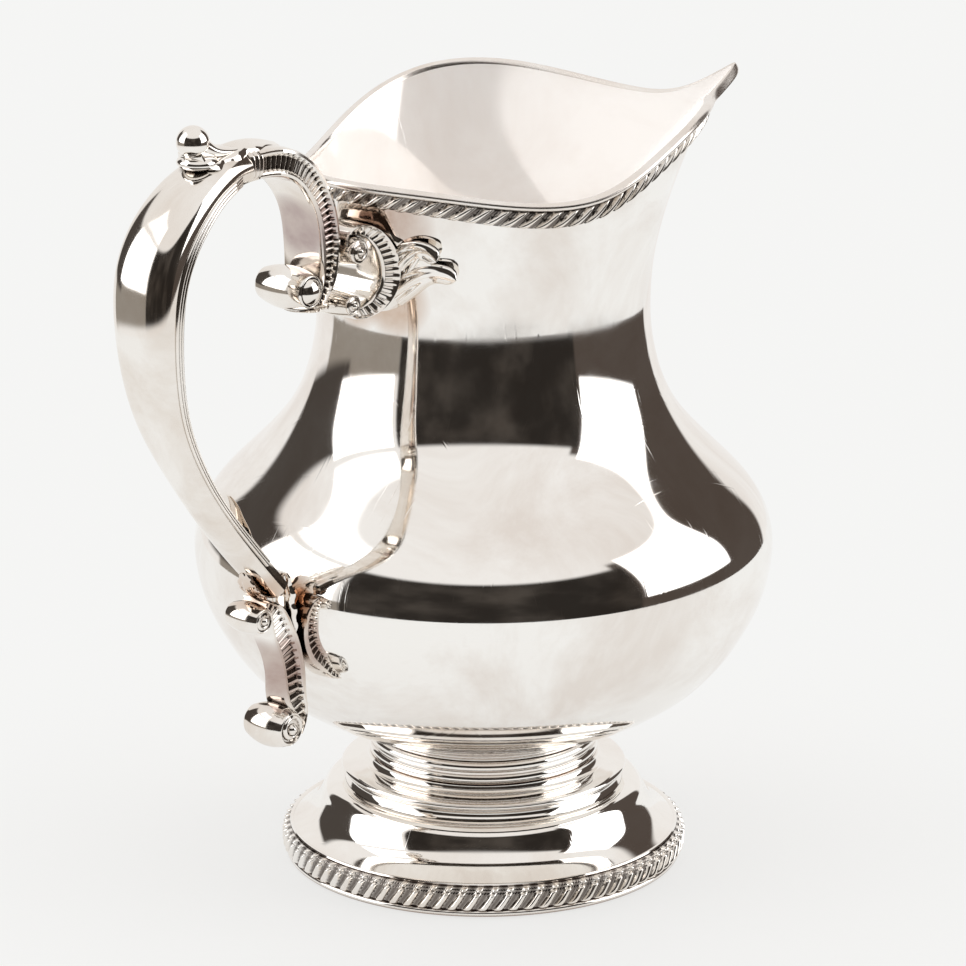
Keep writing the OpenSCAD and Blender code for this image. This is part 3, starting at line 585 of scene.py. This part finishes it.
BRACKET = [(-67.2, 197.6, .8, 8.2), (-66.2, 200.4, 1.4, 8.8), (-62.8, 201.3, 1.8, 9.8),
           (-58.6, 199.7, 2, 11), (-55.4, 196.2, 2.1, 12.2), (-53.5, 191.6, 2.2, 13.2),
           (-52.9, 186.6, 2.2, 13.2), (-54, 182, 2.1, 12.2), (-57, 178.8, 1.9, 10.8),
           (-61, 177.5, 1.6, 9.6), (-64.8, 177.2, 1, 8.8)]


def rib_height(ribs, s):
    """1 on a rib and 0 midway between two, at the share s of the path."""
    return abs(math.sin(math.pi * ribs * s)) ** 1.3


def ladder(ribs, depth):
    """Section of a scroll: smooth crowned faces, raised edges, and flanks sunk between cross ribs."""
    edge = [(1.0, 0.0), (1.0, 0.3), (0.985, 0.58), (0.95, 0.8), (0.93, 0.93), (0.84, 1.01), (0.66, 1.03),
            (0.54, 0.99)]

    def section(s, thick, wide):
        sunk = depth * (1 - 0.6 * rib_height(ribs, s)) * min(1, thick / 2.5)
        rows = [(u * thick, v * wide) for u, v in edge]
        rows += [(u * thick, wide * 0.99 - sunk) for u in (0.42, 0.2, 0.0, -0.2, -0.42)]
        rows += [(-u * thick, v * wide) for u, v in edge[::-1]]
        return rows + [(u, -v) for u, v in rows[-2:0:-1]]
    return section


def bracket_section(s, thick, wide):
    """Like a scroll's section, but narrower on the side away from the neck."""
    edge = [(1.0, 0.0), (1.0, 0.4), (0.97, 0.8), (0.92, 0.95), (0.8, 1.0), (0.66, 1.0)]
    sunk = (1 - 0.55 * rib_height(24, s)) * min(1, thick / 1.6)

    def taper(u):
        return 1 - 0.15 * (1 - u)

    rows = [(u * thick, v * wide * taper(-u)) for u, v in edge]
    rows += [(u * thick, wide * taper(-u) - sunk) for u in (0.5, 0.2, -0.2, -0.5)]
    rows += [(-u * thick, v * wide * taper(u)) for u, v in edge[::-1]]
    return rows + [(u, -v) for u, v in rows[-2:0:-1]]


def bead_section(s, thick, wide):
    """Squarish bar that swells three times along its length."""
    swell = 1 + 0.075 * abs(math.sin(3 * math.pi * s))
    a = np.linspace(0, TAU, 64, endpoint=False)
    c, d = np.cos(a), np.sin(a)
    return np.stack([thick * swell * np.sign(c) * np.abs(c) ** 0.5,
                     wide * swell * np.sign(d) * np.abs(d) ** 0.5], 1)


def dome(q, reach):
    """Height of a round dome of height 1 at a distance q from its middle."""
    return math.sqrt(max(0, 1 - (q / reach) ** 2))


def face_relief(q, angle, turns, start, sense):
    """Relief on a roll's face at a share q of its radius: button, spiral and edge, or dome and edge."""
    if q > 0.82:
        return 0.2 * dome(q - 0.9, 0.1)
    if not turns:
        return 0.45 * dome(q, 0.8)
    if q < 0.34:
        return 0.34 * dome(q, 0.34)
    phase = (q * turns / 0.72 - sense * (angle - start) / TAU) % 1
    return 0.2 * np.clip(1 - (np.abs(phase - 0.5) / 0.3) ** 2, 0, 1) ** 0.6


def volute(x, z, radius, half, turns=0.0, start=0.0, sense=1):
    """Bellied barrel that lies along Y, with a spiral of so many turns, or none, on each face."""
    r = radius / 1.15                             # of the faces; the belly swells past the radius
    lip = half - 0.22 * r                         # y of the barrel's edge
    angle = np.linspace(0, TAU, 84, endpoint=False)

    def ring_at(y, r):
        return np.stack([x + r * np.cos(angle), y + 0 * angle, z + r * np.sin(angle)], 1)

    rings = []
    for q in np.linspace(0.02, 1, 36):
        relief = 0.3 * dome(q, 1) + face_relief(q, angle, turns, start, sense)
        rings.append(ring_at(lip if q > 0.985 else half - 0.35 * r + relief * r, q * r))
    for w in np.linspace(0.96, 0.0, 8):
        rings.append(ring_at(w * lip, (1 + 0.27 * (1 - w ** 2)) * r))
    far = np.array(rings)[::-1][1:] * (1, -1, 1)
    return tube(np.concatenate([rings, far]))


upper = join_grids([sweep(UPPER_SCROLL, ladder(33, 1.7), 640), sweep(GRIP_HEAD, bead_section, 61)])
piece("upper_scroll_bar", *upper, CAST, "cast_silver", ["upper_scroll", "upper_scroll_ribs"])
piece("lower_scroll_bar", *sweep(LOWER_SCROLL, ladder(19, 1.4), 460), CAST, "cast_silver",
      ["lower_scroll", "lower_scroll_ribs"])
piece("upper_roll", *volute(-83.4, 187.9, 5.6, 8.6), CAST, "cast_silver", ["upper_scroll_roll"])
piece("lower_roll_a", *volute(-101.4, 96.9, 4.1, 6.0, 1.1, 0.5, -1), CAST, "cast_silver",
      ["lower_scroll_top_roll"])
piece("lower_roll_b", *volute(-91.8, 62.9, 5.7, 7.2, 1.3, 0.2, -1), CAST, "cast_silver",
      ["lower_scroll_bottom_roll"])

# ---------------------------------------------------------------- leaves and thumb knob
THUMB_LEAF = [(-89, 228.8, 1.2, 2.4), (-96, 229.6, 2.5, 4.2), (-103, 229.6, 3.5, 5.2),
              (-110, 229.2, 3.4, 5.6), (-116, 228.4, 3.1, 6), (-120.2, 229.2, 2.9, 6),
              (-122.2, 232.4, 2.2, 4.4)]
BRIDGE_LEAF = [(-82.6, 181.2, .8, 3.4), (-79.2, 180.8, 1.7, 5.6), (-75.4, 181, 2, 6.4), (-71.8, 181, 2, 6.4),
               (-69, 180.6, 1.6, 6)]
INNER_LEAF = [(-109, 134, .4, 1), (-107, 130, .8, 2.6), (-105.2, 124.8, 1.1, 3.6), (-101.2, 118, 1.3, 4),
              (-96, 111.2, 1.3, 4), (-91, 106, 1, 3.6)]
HORN_LEAF = [(-102.9, 110, .5, 1.4), (-102.4, 107.6, .9, 2.8), (-100.7, 104.8, 1.2, 3.6),
             (-97.6, 102.2, 1.2, 4)]
PAD_LEAF = [(-88.8, 107.4, .9, 3.4), (-87.8, 103.4, 2.2, 4.6), (-87.2, 98.6, 2.8, 4.8), (-86.2, 93, 2, 4.4),
            (-85, 87.6, .9, 3.2)]
KNOB_TAIL = [(-121.6, 235.3, 3.9, 4.1), (-118.6, 233.9, 3.2, 4.0), (-115.4, 232.4, 2.2, 4.2),
             (-111.4, 231.7, 1.5, 4.4), (-107, 231.6, .7, 3.8)]


def leaf_section(flutes, side, depth):
    """Leaf with a scalloped edge: a fluted face on one side of the path, side 1 or -1, and a low back."""
    w = np.linspace(-1, 1, 33)
    fluting = depth * np.cos(math.pi * flutes * 2 * w) * (1 - w ** 2)
    rise = np.sqrt(np.clip(1 - w ** 2, 0, 1)) * (1 - depth + fluting)

    def section(s, thick, wide):
        edge = wide * (1 + 0.08 * math.sin(TAU * 4 * s))
        face = np.stack([side * thick * rise, edge * w], 1)
        back = np.stack([-side * thick * 0.55 * (1 - w[::-1] ** 2), edge * w[::-1]], 1)
        return np.concatenate([face, back[1:-1]])
    return section


def egg(x, z, long, wide, high):
    """Ball with its own half size each way, centred at y = 0."""
    down = np.linspace(0, math.pi, 40)[1:-1]
    round_it = np.linspace(0, TAU, 72, endpoint=False)
    return tube(np.stack([x + long * np.outer(np.sin(down), np.cos(round_it)),
                          wide * np.outer(np.sin(down), np.sin(round_it)),
                          z + high * np.outer(np.cos(down), np.ones_like(round_it))], -1))


def round_section(s, thick, wide):
    """Ellipse."""
    a = np.linspace(0, TAU, 72, endpoint=False)
    return np.stack([thick * np.cos(a), wide * np.sin(a)], 1)


for name, replaced, path, flutes, side, depth, mat in (
        ("thumb_leaf_blade", "thumb_leaf", THUMB_LEAF, 1, 1, 0.1, SMOOTH),
        ("bridge_leaf", "bridge_leaves", BRIDGE_LEAF, 2, -1, 0.28, CAST),
        ("inner_leaf", "grip_inner_leaf", INNER_LEAF, 1, -1, 0.28, CAST),
        ("horn_leaf", "lower_horn_leaf", HORN_LEAF, 1, 1, 0.28, CAST),
        ("pad_leaf", "belly_pad", PAD_LEAF, 1, 1, 0.28, CAST)):
    piece(name, *sweep(path, leaf_section(flutes, side, depth), 90), mat, "cast_silver", [replaced])

knob = join_grids([egg(-120.9, 235.6, 4.55, 4.55, 4.55), sweep(KNOB_TAIL, round_section, 40),
                   egg(-119.2, 229.9, 5.6, 5.8, 2.5)])
piece("thumb_knob", *knob, SMOOTH, "cast_silver", ["thumb_ball"])

# ---------------------------------------------------------------- mount on the neck
HANDLE_RISE = RIM_HALF[-1][2] - NECK_HEIGHT       # from the neck to the rim, on the handle's side
HANDLE_SPREAD = -RIM_HALF[-1][0] - NECK_RADIUS
MOUNT_SHARE = 0.82                                # how much of that spread the mount follows
LEAF_RADIUS = 50.0                                # turns degrees into lengths across the leaves
# Turn from the handle's side toward -Y in degrees, height, half width: one curled lobe above the other
NECK_LOBES = (
    ((12.5, 188.4, 5.2), (14.5, 190.8, 4.9), (17, 192.9, 4.2), (20, 194.4, 3.4), (23.4, 194, 3.0),
     (26.4, 192.4, 2.6)),
    ((9.5, 180.2, 4.2), (12.5, 182.4, 4.3), (16, 184.7, 4.2), (22.5, 187.6, 3.4), (28, 187.8, 3.0),
     (32, 187.0, 2.8)),
)
NECK_WEB = ((9.5, 183.6, 5.2), (12.5, 186.4, 5.4), (16.5, 188.8, 5.0), (20.5, 190.4, 4.0), (24, 190.8, 2.6))


def on_neck(turn, z, lift):
    """Points at a lift over the neck; turn is in degrees from the handle's side, toward +Y."""
    up = np.clip((np.asarray(z, float) - NECK_HEIGHT) / HANDLE_RISE, 0, 1)
    r = NECK_RADIUS + MOUNT_SHARE * HANDLE_SPREAD * flare(up) + lift
    a = math.pi - np.radians(turn)
    return np.stack([r * np.cos(a), r * np.sin(a), z * np.ones_like(r)], -1)


def neck_plate():
    """Thin plate that lies on the neck, with a front, a back and a strip round its edge."""
    rows, cols, half_turn = 24, 61, 15
    u = np.linspace(-1, 1, cols)
    low, high = 174 + 5 * u ** 2, 205.4 - 8.4 * np.abs(u)
    side = np.clip(10 * (1 - np.abs(u)) + 0.2, 0, 1)
    front, back = [], []
    for w in np.linspace(0, 1, rows):
        z = low + (high - low) * w
        edge = min(1, 12 * min(w, 1 - w) + 0.15)
        front.append(on_neck(half_turn * u, z, 0.95 * np.minimum(edge, side)))
        back.append(on_neck(half_turn * u, z, -0.4))
    skin = grid_faces(rows, cols, False, False)
    verts, faces = join_grids([(np.array(front), skin), (np.array(back), skin)])
    last_row, last_col, behind = cols * (rows - 1), cols - 1, rows * cols
    border = (list(range(last_col)) + [cols * i + last_col for i in range(rows - 1)]
              + [last_row + j for j in range(last_col, 0, -1)] + [cols * i for i in range(rows - 1, 0, -1)])
    for here, after in zip(border, border[1:] + border[:1]):
        faces.append((here, after, behind + after, behind + here))
    return verts, faces


def neck_lobe(path, thick=1.9, curl=1.6):
    """Fluted lobe that lies on the neck and lifts off it toward its tip by its curl."""
    rows = np.array(path, float)
    rows[:, 0] *= math.radians(LEAF_RADIUS)
    rows = smooth(rows, 70)
    along = np.gradient(rows[:, :2], axis=0)
    along /= np.linalg.norm(along, axis=1, keepdims=True)
    w = np.linspace(-1, 1, 31)
    rings = []
    for i, (across, z, wide) in enumerate(rows):
        s = i / (len(rows) - 1)
        wide *= math.sqrt(max(0.02, 1 - max(0, (s - 0.86) / 0.14) ** 2))
        flute = 0.2 * max(0, 1 - s / 0.8)
        raised = curl * max(0, (s - 0.6) / 0.4) ** 2
        back = thick * np.sqrt(np.clip(1 - w ** 2, 0, 1)) * (1 - flute + flute * np.cos(TAU * 1.5 * w))
        turn = -np.degrees((across - along[i, 1] * wide * w) / LEAF_RADIUS)
        height = z + along[i, 0] * wide * w
        face = on_neck(turn, height, back + 0.25 + raised)
        under = on_neck(turn[::-1], height[::-1], 0.75 * raised - 0.35)
        rings.append(np.concatenate([face, under[1:-1]]))
    return tube(np.array(rings))


bracket = join_grids([sweep(BRACKET, bracket_section, 360), volute(-64.0, 195.6, 4.2, 9.4, 1.3, 1.0),
                      volute(-66.4, 180.6, 3.4, 9.2, 1.1, 2.0, -1)])
piece("neck_bracket_scroll", *bracket, CAST, "cast_silver", ["neck_bracket"])
piece("neck_mount_plate", *neck_plate(), CAST, "cast_silver", ["neck_plate"])
neck_leaf = join_grids([neck_lobe(path) for path in NECK_LOBES] + [neck_lobe(NECK_WEB, 1.2, 0.0)])
piece("neck_leaf_r", *neck_leaf, SMOOTH, "cast_silver", ["neck_leaf_right"])
piece("neck_leaf_l", *mirrored(*neck_leaf), SMOOTH, "cast_silver", ["neck_leaf_left"])

# ---------------------------------------------------------------- floor, in metres
BACKDROP = (0.915, 0.915, 0.905, 1)
FLOOR_RADIUS = 0.62
SHADOW_NEAR, SHADOW_FAR = 0.05, 0.24              # from the axis: where the floor starts and ends to fade
LEAST_BACKDROP = 0.72                             # share of the backdrop's colour near the foot


def make_floor():
    """Pale disc that takes a faint shadow near the foot and turns into the backdrop farther out."""
    bpy.ops.mesh.primitive_circle_add(vertices=128, radius=FLOOR_RADIUS, fill_type="NGON",
                                      location=(AXIS, 0, 0))
    floor = bpy.context.object
    floor.name = "floor"
    material, tree, shader = new_material("pale_floor")
    shader.inputs["Base Color"].default_value = (0.93, 0.925, 0.915, 1)
    shader.inputs["Roughness"].default_value = 0.9
    shader.inputs["Specular IOR Level"].default_value = 0.1
    place = node(tree, "TexCoord", {}).outputs["Object"]
    away = node(tree, "VectorMath", {0: place}, operation="LENGTH").outputs["Value"]
    share = remap(tree, away, SHADOW_NEAR, SHADOW_FAR, LEAST_BACKDROP, curve="SMOOTHSTEP")
    glow = node(tree, "Emission", {"Color": BACKDROP}).outputs["Emission"]
    blend = node(tree, "MixShader", {"Fac": share, 1: shader.outputs["BSDF"], 2: glow})
    tree.links.new(blend.outputs["Shader"], tree.nodes["Material Output"].inputs["Surface"])
    floor.data.materials.append(material)


make_floor()

# ---------------------------------------------------------------- room that the silver reflects
VIEW = math.radians(220)                          # direction that counts as azimuth 0
ROOM_COLOUR = (0.90, 0.88, 0.86)
DARK, DIM = (0.026, 0.022, 0.019), (0.075, 0.064, 0.055)
# Lowest and highest azimuth, lowest and highest elevation, softness of each, in degrees; colour.
PANELS = (
    ((-180, 180, 50, 91), (0, 16), (1.0, 0.98, 0.95)),               # ceiling
    ((-126, -57, -17, 0), (3, 3), (0.3, 0.27, 0.235)),               # below the left window
    ((-140, -100, -5, 34), (3, 4), (0.07, 0.06, 0.053)),             # left of it
    ((-105, -61, 0, 36), (1.5, 2), (2.6, 2.6, 2.6)),                 # left window
    ((-105, -61, 40, 55), (1.5, 3), (1.8, 1.8, 1.8)),                # strip over it
    ((60, 145, -17, 42), (3, 4), (0.085, 0.068, 0.058)),             # round the right window
    ((66, 113, 1, 44), (1.5, 2), (2.6, 2.6, 2.6)),                   # right window
)
FRONT = ((-58, 64, -17, 37), (2, 4))                                 # dark side that the camera stands on

world = bpy.data.worlds.new("studio")
bpy.context.scene.world = world
world.use_nodes = True
room = world.node_tree
room.nodes.clear()
direction = node(room, "TexCoord", {}).outputs["Generated"]


def toward(axis):
    """Share of the direction that points along an axis."""
    return node(room, "VectorMath", {0: direction, 1: axis}, operation="DOT_PRODUCT").outputs["Value"]


def in_degrees(radians):
    """Angle in degrees."""
    return calculate(room, "MULTIPLY", radians, 180 / math.pi)


def between(value, low, high, soft):
    """1 between two limits and 0 outside, with soft edges."""
    after_low = remap(room, value, low - soft / 2, low + soft / 2, curve="SMOOTHSTEP")
    after_high = remap(room, value, high - soft / 2, high + soft / 2, curve="SMOOTHSTEP")
    return calculate(room, "MULTIPLY", after_low, calculate(room, "SUBTRACT", 1.0, after_high))


def panel(box, soft):
    """1 inside a panel of the room and 0 outside."""
    return calculate(room, "MULTIPLY", between(azimuth, *box[:2], soft[0]),
                     between(elevation, *box[2:], soft[1]))


ahead = toward((math.cos(VIEW), math.sin(VIEW), 0))
sideways = toward((math.cos(VIEW + math.pi / 2), math.sin(VIEW + math.pi / 2), 0))
azimuth = in_degrees(calculate(room, "ARCTAN2", sideways, ahead))
elevation = in_degrees(calculate(room, "ARCSINE", toward((0, 0, 1))))
colour = ROOM_COLOUR
for box, soft, tint in PANELS:
    colour = mix(room, panel(box, soft), colour, tint)
haze = remap(room, noise(room, direction, 2.2, 3), 0.4, 0.8, curve="SMOOTHSTEP")
colour = mix(room, panel(*FRONT), colour, mix(room, haze, DARK, DIM))
reflected = node(room, "Background", {"Color": colour}).outputs["Background"]
seen = node(room, "Background", {"Color": BACKDROP}).outputs["Background"]
from_camera = node(room, "LightPath", {}).outputs["Is Camera Ray"]
either = node(room, "MixShader", {"Fac": from_camera, 1: reflected, 2: seen}).outputs["Shader"]
node(room, "OutputWorld", {"Surface": either})
bpy.context.scene.view_settings.view_transform = "Standard"

# ---------------------------------------------------------------- camera, in metres
LENS, SENSOR = 204.97, 36                         # mm
PICTURE = 966                                     # pixels across
CAMERA = (AXIS - 1.1691, -0.9810, 0.5759)
TARGET = (AXIS, 0, 0.11223)                       # on the bowl's axis, near mid height
camera = bpy.data.cameras.new("camera")
camera.lens = LENS
camera.sensor_width = SENSOR
camera.shift_x = -0.5 / PICTURE
stand = bpy.data.objects.new("camera", camera)
stand.location = CAMERA
stand.rotation_euler = (Vector(TARGET) - stand.location).to_track_quat("-Z", "Y").to_euler()
bpy.context.scene.collection.objects.link(stand)
bpy.context.scene.camera = stand
